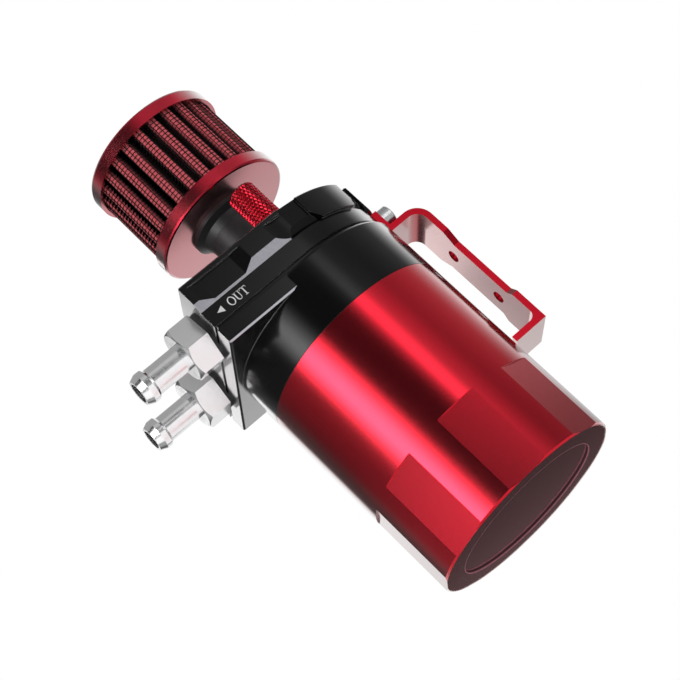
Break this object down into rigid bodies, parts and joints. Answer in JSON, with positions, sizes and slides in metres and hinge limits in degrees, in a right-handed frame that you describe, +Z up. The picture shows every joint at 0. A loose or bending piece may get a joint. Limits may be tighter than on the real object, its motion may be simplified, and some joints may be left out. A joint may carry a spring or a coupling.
{
  "type": "oil catch can",
  "caption": "Oil catch can: a round can screws under a machined head with hose tails, a knurled dipstick, a pleated breather filter on a rubber neck and a bent side bracket.",
  "frame": {"origin": "centre of the face the can stands on", "axes": "+Z up along the can axis, -X out through the hose tails, +X out through the bracket"},
  "size_m": [0.1092, 0.068, 0.1727],
  "materials": {
    "black_anodised": "black anodised aluminium, fine satin",
    "red_anodised": "red anodised aluminium, satin bright",
    "red_lacquer": "red lacquered pressed metal",
    "bare_aluminium": "bare turned aluminium",
    "black_rubber": "smooth black rubber",
    "red_gauze": "oiled red cotton gauze under black wire mesh",
    "steel": "plain zinc plated steel"
  },
  "bodies": {
    "head": {"head": "black_anodised", "breather_spigot": "bare_aluminium", "splash_baffle": "bare_aluminium", "baffle_posts": "bare_aluminium", "baffle_screws": "steel", "outlet_fitting": "bare_aluminium", "inlet_fitting": "bare_aluminium", "port_seals": "black_rubber", "bracket": "red_anodised", "bracket_screws": "steel"},
    "can_seal": {"can_seal": "black_rubber"},
    "can": {"can_body": "red_anodised"},
    "dipstick_seal": {"dipstick_seal": "black_rubber"},
    "dipstick": {"dipstick_knob": "red_anodised", "dipstick_rod": "steel"},
    "filter": {"filter_neck": "black_rubber", "filter_base": "red_lacquer", "filter_media": "red_gauze", "filter_core": "bare_aluminium", "filter_top_cap": "red_lacquer"}
  },
  "joints": [
    {"name": "can_lift", "type": "slide", "parent": "head", "child": "can_seal", "axis": [0, 0, -1], "range_m": [0, 0.0121]},
    {"name": "can_turn", "type": "hinge", "parent": "can_seal", "child": "can", "pos_m": [0, 0, 0.0732], "axis": [0, 0, -1], "range_deg": [0, 2160]},
    {"name": "dipstick_lift", "type": "slide", "parent": "head", "child": "dipstick_seal", "axis": [0, 0, 1], "range_m": [0, 0.005]},
    {"name": "dipstick_turn", "type": "hinge", "parent": "dipstick_seal", "child": "dipstick", "pos_m": [0.00302, -0.02179, 0.112], "axis": [0, 0, 1], "range_deg": [0, 1805]},
    {"name": "filter_pull", "type": "slide", "parent": "head", "child": "filter", "axis": [0, 0, 1], "range_m": [0, 0.02]}
  ],
  "couplings": [
    {"joint": "can_lift", "follows": "can_turn", "m_per_rad": 0.00031831},
    {"joint": "dipstick_turn", "follows": "dipstick_lift", "rad_per_m": 6283.2}
  ]
}
